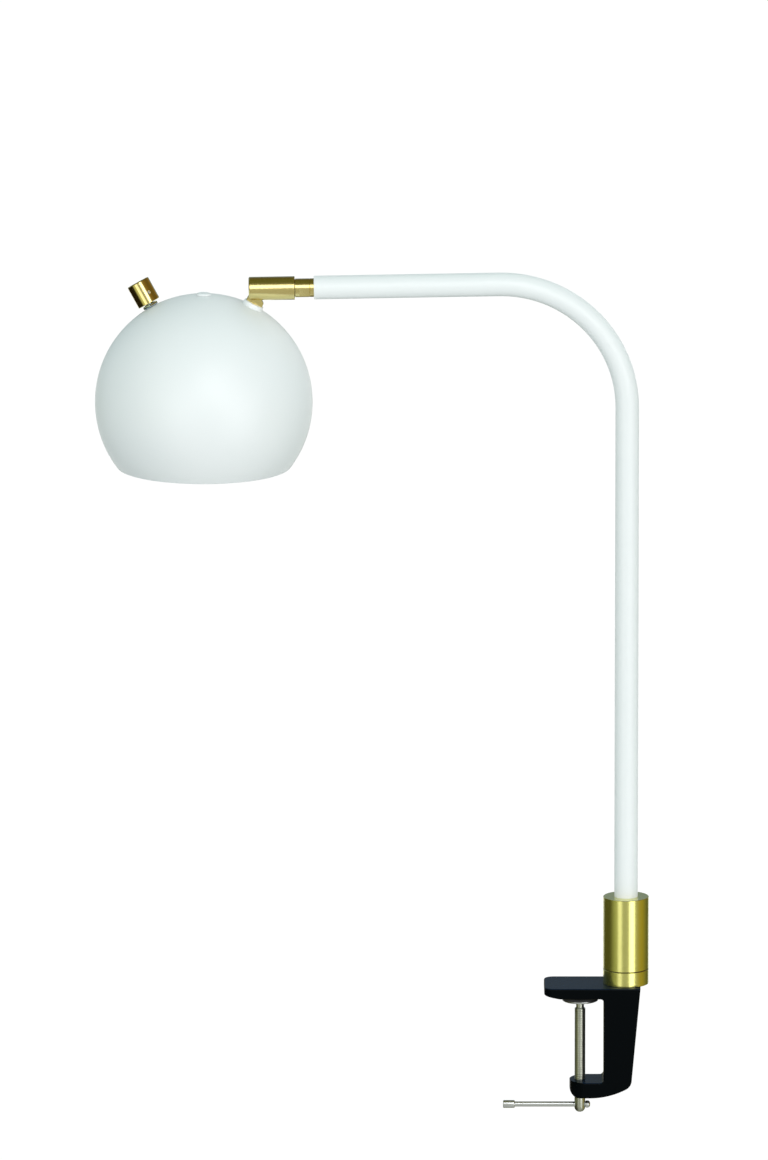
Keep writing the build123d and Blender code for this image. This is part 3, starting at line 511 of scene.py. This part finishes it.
def box(node):
    """A node's lowest and highest corners, in millimetres."""
    low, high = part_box(node)
    return [value / MM for value in low], [value / MM for value in high]


def arc(radius, centre, height, start, end, count):
    """Steps on a quarter or other arc of a turned outline, angles in degrees from its equator."""
    angles = [radians(start + (end - start) * turn / count) for turn in range(count + 1)]
    return [(centre + radius * cos(angle), height + radius * sin(angle)) for angle in angles]


# The clamp's spindle: a rolled thread between a necked rivet and a plain end with the bar's hole

spindle_low, spindle_high = box("clamp_spindle")
disc_low, disc_high = box("pad_disc")
bar_low, bar_high = box("tommy_bar")
grip_low, grip_high = box("tommy_bar_grip")
spindle_end = spindle_low[2]
rivet_top = spindle_high[2]
disc_bottom, disc_top = disc_low[2], disc_high[2]
bar_level = (bar_low[2] + bar_high[2]) / 2
thread_top = disc_bottom - 6.5
thread_low = bar_level + 7.5
thread_pitch = 1.5
bar_spot = (0, 0, bar_level * MM)

rolled = [4.28, 4.42, 4.49, 4.5, 4.5, 4.5, 4.5, 4.49, 4.42]
thread = threaded(rolled, thread_pitch, thread_low, thread_top, steps=45)
tail = turned(
    [(0.2, spindle_end)]
    + arc(4.0, 0.5, spindle_end + 4.0, -86, 0, 10)
    + [(4.5, thread_low - 1.1), (4.0, thread_low - 0.5), (4.0, thread_low + 0.3)],
    sides=72,
)
bar_hole = turned([(2.2, -8.0), (2.2, 8.0)], sides=40)
cut(tail, set_in(bar_hole, bar_spot, ALONG_X))
rivet = turned([
    (4.0, thread_top - 0.4), (4.0, thread_top + 0.2), (3.3, thread_top + 0.9), (3.3, disc_bottom - 0.3),
    (3.0, disc_bottom - 0.02), (2.5, disc_bottom), (2.5, disc_top), (3.9, disc_top), (4.0, disc_top + 0.15),
    (3.8, rivet_top - 0.35), (3.1, rivet_top - 0.08), (2.0, rivet_top), (0.2, rivet_top),
])
spindle = joined(thread, tail, rivet)
fit("spindle", spindle, "spindle", nickel, "nickel", "clamp_spindle")

# The tommy bar, upset to a button at one end, with a turned grip pressed on the other

stop_face = bar_high[0] - 3.8
bar = turned(
    [(1.6, bar_low[0]), (2.15, bar_low[0] + 0.5), (2.15, stop_face - 0.35), (2.45, stop_face),
     (2.85, stop_face + 0.05), (3.0, stop_face + 0.5), (3.0, stop_face + 1.6)]
    + arc(2.2, 0.8, stop_face + 1.6, 0, 84, 8)[1:],
    sides=40,
)
fit("bar", set_in(bar, bar_spot, ALONG_X), "bar", bright, "nickel", "tommy_bar")

grip_end, grip_face = grip_low[0], grip_high[0]
grip = turned([
    (2.4, grip_end), (2.95, grip_end + 0.12), (3.2, grip_end + 0.4), (3.25, grip_end + 0.8),
    (3.25, grip_face - 0.9), (3.2, grip_face - 0.5), (2.95, grip_face - 0.15), (2.6, grip_face),
    (2.21, grip_face), (2.21, grip_end + 2.0), (0.2, grip_end + 2.0),
], sides=64)
fit("grip", set_in(grip, bar_spot, ALONG_X), "bar", bright, "nickel", "tommy_bar_grip")

# The pad: a pressed disc with a rolled edge under a rubber cushion with grip rings

disc_edge = disc_high[0]
disc = turned([
    (2.55, disc_bottom + 0.25), (3.6, disc_bottom + 0.2), (5.2, disc_bottom), (disc_edge - 2.2, disc_bottom),
    (disc_edge - 0.9, disc_bottom + 0.1), (disc_edge - 0.25, disc_bottom + 0.45),
    (disc_edge, disc_bottom + 0.9), (disc_edge, disc_top), (2.55, disc_top),
], sides=96, hollow=True)
fit("disc", disc, "pad", bright, "nickel", "pad_disc")

cushion_edge, _, cushion_face = box("pad_cushion")[1]
rings = []
for ring in (11.6, 9.0, 6.4, 3.8):
    rings += [
        (ring + 0.75, cushion_face), (ring + 0.45, cushion_face - 0.5),
        (ring - 0.45, cushion_face - 0.5), (ring - 0.75, cushion_face),
    ]
cushion = turned(
    [(4.4, disc_top), (cushion_edge - 0.1, disc_top), (cushion_edge, disc_top + 0.2),
     (cushion_edge, cushion_face - 0.8)]
    + arc(0.8, cushion_edge - 0.8, cushion_face - 0.8, 15, 90, 5)
    + rings
    + [(0.4, cushion_face), (0.4, disc_top + 1.3), (4.4, disc_top + 1.3)],
    sides=96, hollow=True,
)
fit("cushion", cushion, "pad", rubber, "black_rubber", "pad_cushion")

# The switch: a threaded bush through the shade, its nut, and the body inside

bush_end = shade_radius + 2.9
bush_back = shade_inside - 0.8
bush_pitch = 0.75
ridge = ((0.10, 4.55), (0.32, 5.0), (0.47, 5.0), (0.69, 4.55))
bush = turned(
    [(3.05, bush_back), (4.55, bush_back)]
    + [(radius, bush_back + bush_pitch * turn + rise) for turn in range(5) for rise, radius in ridge]
    + [(4.55, bush_end - 0.4), (4.1, bush_end), (3.5, bush_end), (3.05, bush_end - 0.4)],
    hollow=True,
)
fit("bush", set_in(bush, shade_middle, switch_dir), "head", chrome, "chrome", "switch_bush")

nut = rounded(hex_nut(12.4, shade_radius, 2.4, 5.05), 0.12)
fit("nut", set_in(nut, shade_middle, switch_dir), "head", chrome, "chrome", "switch_nut")

seat_gap = 0.05
case_radius = 11.0
switch_top = sqrt(shade_inside**2 - case_radius**2) - seat_gap
switch_back = switch_top - 13.0
plug_low, plug_top = switch_back + 1.0, switch_back + 5.5
case = turned([
    (3.3, switch_back), (9.6, switch_back), (10.0, switch_back + 0.4), (10.0, switch_back + 4.4),
    (10.8, switch_back + 4.6), (case_radius, switch_back + 4.9), (case_radius, switch_back + 6.0),
    (10.6, switch_back + 6.4), (10.6, switch_top - 1.0), (10.2, switch_top - 0.3), (9.6, switch_top),
    (3.3, switch_top),
], hollow=True, sides=72)
plug = turned([(0.3, plug_low), (3.3, plug_low), (3.3, plug_top), (0.3, plug_top)])
switch = set_in(joined(case, plug), shade_middle, switch_dir)
fit("switch_case", switch, "head", bakelite, "holder_plastic", "switch_body")


def terminal():
    """A slotted terminal screw with a domed head."""
    screw = turned([
        (1.55, switch_back - 0.1), (1.7, switch_back - 0.25), (1.7, switch_back - 0.9),
        (1.45, switch_back - 1.25), (0.8, switch_back - 1.45), (0.1, switch_back - 1.5),
    ], sides=32)
    bpy.ops.object.select_all(action="DESELECT")
    bpy.ops.mesh.primitive_cube_add(size=MM, location=(0, 0, (switch_back - 1.45) * MM))
    slit = bpy.context.object
    slit.scale = (4.0, 0.5, 1.1)
    bpy.ops.object.transform_apply(location=True, rotation=True, scale=True)
    return cut(screw, slit)


terminal_side = 5.9
first_screw = terminal()
second_screw = copied(first_screw)
set_in(first_screw, (0, terminal_side * MM, 0))
set_in(second_screw, (0, -terminal_side * MM, 0))
for screw, name in ((first_screw, "terminal_front"), (second_screw, "terminal_back")):
    fit(name, set_in(screw, shade_middle, switch_dir), "head", contact, "contact_brass")

# The stud's nut inside the shade

stud_reach = 107.0
washer_radius, washer_thick = 8.0, 1.2
washer_face = stud_reach - sqrt(shade_inside**2 - washer_radius**2) + seat_gap
stud_nut = rounded(hex_nut(13.0, washer_face + washer_thick, 5.0, 4.05), 0.15)
fit("stud_hexagon", set_in(stud_nut, pivot, stud_dir), "head", zinc, "steel", "stud_nut")

# The lampholder: a ribbed skirt that screws into a domed cap, over the bulb's neck

skirt_low, skirt_high = box("holder_body")
mouth, seam = skirt_low[2], skirt_high[2]
rib_low, rib_top = mouth + 3.0, seam - 3.6
skirt_sides = 84
holder_spot = (shade_middle.x, shade_middle.y, 0)
skirt = turned([
    (8.45, mouth + 0.8), (9.2, mouth), (12.1, mouth), (13.1, mouth + 0.4), (13.6, mouth + 1.4),
    (13.6, rib_low), (13.6, rib_top), (14.0, seam - 3.2), (14.0, seam - 0.6), (13.7, seam - 0.1),
    (8.45, seam - 0.1),
], sides=skirt_sides, hollow=True)
take(skirt)
bpy.ops.object.mode_set(mode="EDIT")
bpy.ops.mesh.select_mode(type="FACE")
bpy.ops.mesh.select_all(action="DESELECT")
bpy.ops.object.mode_set(mode="OBJECT")
for face in skirt.data.polygons:
    middle = face.center / MM
    outside = rib_low < middle.z < rib_top and middle.xy.length > 13
    side = atan2(middle.y, middle.x) / (2 * pi) * skirt_sides
    face.select = outside and round(side - 0.5) % 2 == 0
bpy.ops.object.mode_set(mode="EDIT")
bpy.ops.mesh.inset(thickness=0.14 * MM, depth=0.38 * MM, use_individual=True)
bpy.ops.object.mode_set(mode="OBJECT")
fit("holder_skirt", set_in(skirt, holder_spot), "head", bakelite, "holder_plastic", "holder_body", smooth=40)

# The bulb's envelope: a frosted ball drawn out into its neck

globe_radius = 22.5
globe_middle = box("bulb_globe")[0][2] + globe_radius
neck = ((13.35, 18.0), (11.95, 19.6), (10.85, 21.5), (10.0, 23.8), (9.3, 26.4), (8.75, 28.6), (8.3, 30.4))
envelope = turned(
    arc(globe_radius - 0.01, 0, globe_middle, -89, 48, 46)
    + [(radius, globe_middle + rise) for radius, rise in neck],
    sides=96,
)
set_in(envelope, holder_spot)
fit("envelope", envelope, "head", glass, "opal_glass", "bulb_globe", "bulb_neck", smooth=60)

# The cord outlet: a soft bush with a bead each side of the sleeve's wall

outlet_low, outlet_high = box("cord_bush")
collar_radius = box("swing_sleeve")[1][1]
outlet_height = (outlet_low[2] + outlet_high[2]) / 2
outlet_spot = (column.x, column.y, outlet_height * MM)
outlet = turned([
    (3.3, 13.5), (4.1, 13.5), (4.5, 14.0), (4.5, 21.6), (4.2, 21.8), (4.2, 22.3), (4.5, 22.5), (4.5, 23.2),
    (4.2, 23.8), (3.8, 24.0), (3.4, 23.9), (3.2, 23.5), (3.2, 14.0),
], hollow=True)
flange = turned(
    [(4.3, 15.5), (6.5, 15.5)] + arc(1.0, 5.5, 20.0, 0, 80, 6) + [(4.3, 21.0)], sides=72, hollow=True
)
set_in(outlet, outlet_spot, ALONG_Y)
set_in(flange, outlet_spot, ALONG_Y)
clear_radius = collar_radius + seat_gap
sleeve_round = set_in(turned([(clear_radius, -20.0), (clear_radius, 20.0)], sides=160), outlet_spot)
outlet = joined(outlet, cut(flange, sleeve_round))
fit("outlet", outlet, "arm", rubber, "black_rubber", "cord_bush")


# The studio, in metres: lights, floor, tent, world and camera

view_middle = Vector((-0.16310, 0, 0.35182))
view_tilt = radians(12.3)
view_distance = 16.562
floor_level = -0.73
light_distance = 2.2
tent_radius = 5.0
warm_white = (1.0, 0.953, 0.951)


def aside(azimuth, elevation, distance):
    """A place round the lamp: azimuth 0 is the camera's side, positive to its right."""
    a, e = radians(azimuth), radians(elevation)
    return view_middle + distance * Vector((sin(a) * cos(e), -cos(a) * cos(e), sin(e)))


def hung(light, azimuth, elevation):
    """A light on its stand, turned to the lamp."""
    light.color = warm_white
    stand = bpy.data.objects.new(light.name, light)
    stand.location = aside(azimuth, elevation, light_distance)
    stand.rotation_euler = (pi / 2 - radians(elevation), 0, radians(azimuth))
    bpy.context.scene.collection.objects.link(stand)
    return stand


def softbox(name, azimuth, width, low, high, radiance):
    """An upright light panel between two levels, for polish to mirror."""
    light = bpy.data.lights.new(name, "AREA")
    light.shape = "RECTANGLE"
    light.size = width
    light.size_y = high - low
    light.energy = radiance * pi * width * (high - low)
    panel = hung(light, azimuth, 0)
    panel.location.z = (low + high) / 2
    panel.visible_diffuse = False


def far_light(name, azimuth, elevation, strength):
    """Soft light from far off, as strong wherever the arm swings to; polish doesn't mirror it."""
    light = bpy.data.lights.new(name, "SUN")
    light.angle = radians(34)
    light.energy = strength
    hung(light, azimuth, elevation).visible_glossy = False


softbox("softbox_right", 34.5, 0.98, -0.70, 1.1, 2.46)
softbox("softbox_left", -27, 0.85, -0.70, 1.1, 1.07)
softbox("softbox_front", 9, 1.25, 1.06, 2.8, 2.75)
far_light("light_right", 44, 8, 0.90)
far_light("light_left", -32, 8, 0.73)
far_light("light_front", 4, 7, 0.46)
far_light("light_back", 158, 20, 0.85)


def white_floor():
    """White paper that stays white to the eye and keeps a little of the lamp's shadow."""
    floor = Finish("white_floor")
    floor.surface(Base_Color=(0.63, 0.63, 0.63), Roughness=0.9)
    glow = floor.node("Emission", {}, {"Color": (1, 1, 1), "Strength": 1.085})
    plain = Wire(floor, floor.shader.outputs[0])
    both = floor.node("MixShader", {}, {0: floor.seen() * 0.90, 1: plain, 2: glow})
    floor.feed(floor.tree.nodes["Material Output"].inputs[0], both)
    floor.material.cycles.emission_sampling = "NONE"
    return floor.material


def painted_reflection_tent():
    """Glowing surroundings that only polished surfaces see, painted with what they mirror: pale in front and
    below, darker behind and above.
    """
    cloth = Finish("painted_reflection_tent")
    x, y, z = [part / tent_radius for part in cloth.split(cloth.place(view_middle))]
    front = (x * 0.34 - y * 0.94).between(-0.25, 0.35) * (1 - z.between(0.55, 0.90))
    below = z.between(-0.45, -0.70) * (1 - abs(x).between(0.25, 0.55)) * (1 - y.between(-0.05, 0.40))
    # Two pale strips behind: painted light, seen only as highlights in polished surfaces.
    painted_light_strips = abs(x).between(0.20, 0.26) * (1 - abs(x).between(0.42, 0.48)) * y.between(0.45, 0.60)
    painted_light_strips = painted_light_strips * z.between(-0.03, -0.08) * (1 - z.between(-0.55, -0.65))
    aloft = cloth.mix(z.between(0.40, 0.80), (0.245, 0.30, 0.34), (0.096, 0.064, 0.016))
    back = cloth.mix(z.between(-0.10, 0.10) * y.between(0.3, 0.7), (0.130, 0.125, 0.028), aloft)
    sides = cloth.mix(x.between(0.70, 0.95), (0.47, 0.46, 0.37), (0.40, 0.30, 0.03))
    sides = cloth.mix(x.between(-0.40, -0.80), sides, (0.84, 0.86, 0.46))
    wall = cloth.mix(front, back, sides)
    # Warm and dark patches painted into the surroundings, seen only as reflections in polished surfaces.
    wall = cloth.mix(x.between(0.42, 0.62) * z.between(0.05, 0.28), wall, (0.250, 0.150, 0.025))
    wall = cloth.mix(x.between(0.72, 0.92) * z.between(0.05, 0.28), wall, (0.110, 0.080, 0.025))
    wall = cloth.mix(x.between(-0.25, -0.55) * z.between(-0.24, -0.36), wall, (0.016, 0.010, 0.003))
    wall = cloth.mix(painted_light_strips, wall, (1.1, 1.1, 1.1))
    cloth.material.cycles.emission_sampling = "NONE"
    return cloth.surface(
        Base_Color=(0, 0, 0),
        Roughness=1.0,
        Emission_Color=cloth.mix(below, wall, (0.52, 0.51, 0.45)),
        Emission_Strength=1.0,
    )


bpy.ops.object.select_all(action="DESELECT")
bpy.ops.mesh.primitive_plane_add(size=80, location=(0, 0, floor_level))
floor = bpy.context.object
floor.name = "floor"
floor.data.materials.append(white_floor())
floor.visible_glossy = False

bpy.ops.object.select_all(action="DESELECT")
bpy.ops.mesh.primitive_uv_sphere_add(segments=64, ring_count=32, radius=tent_radius, location=view_middle)
bpy.ops.object.transform_apply(location=True, rotation=True, scale=True)
tent = bpy.context.object
tent.name = "tent"
tent.data.materials.append(painted_reflection_tent())
tent.visible_camera = False
tent.visible_diffuse = False
tent.visible_transmission = False
tent.visible_shadow = False

world = bpy.data.worlds.new("studio")
bpy.context.scene.world = world
world.use_nodes = True
air = Nodes(world.node_tree)
side, _, height = air.split(air.place())
around = air.mix(side.between(-0.8, 0.4), (0.435, 0.555, 0.535), (0.545, 0.650, 0.632))
sky = air.mix(height.between(0, 1), around, (0.618, 0.730, 0.718))
air.feed(air.tree.nodes["Background"].inputs["Color"], air.mix(air.seen(), sky, (1, 1, 1)))

picture_height = 1160
focal_pixels = 20000
camera = bpy.data.cameras.new("camera")
camera.sensor_fit = "VERTICAL"
camera.sensor_height = 36.0
camera.lens = camera.sensor_height * focal_pixels / picture_height
camera.clip_end = 200
eye = bpy.data.objects.new("camera", camera)
eye.location = view_middle + view_distance * Vector((0, -cos(view_tilt), sin(view_tilt)))
eye.rotation_euler = (pi / 2 - view_tilt, 0, 0)
bpy.context.scene.collection.objects.link(eye)
bpy.context.scene.camera = eye
bpy.context.scene.view_settings.view_transform = "Standard"
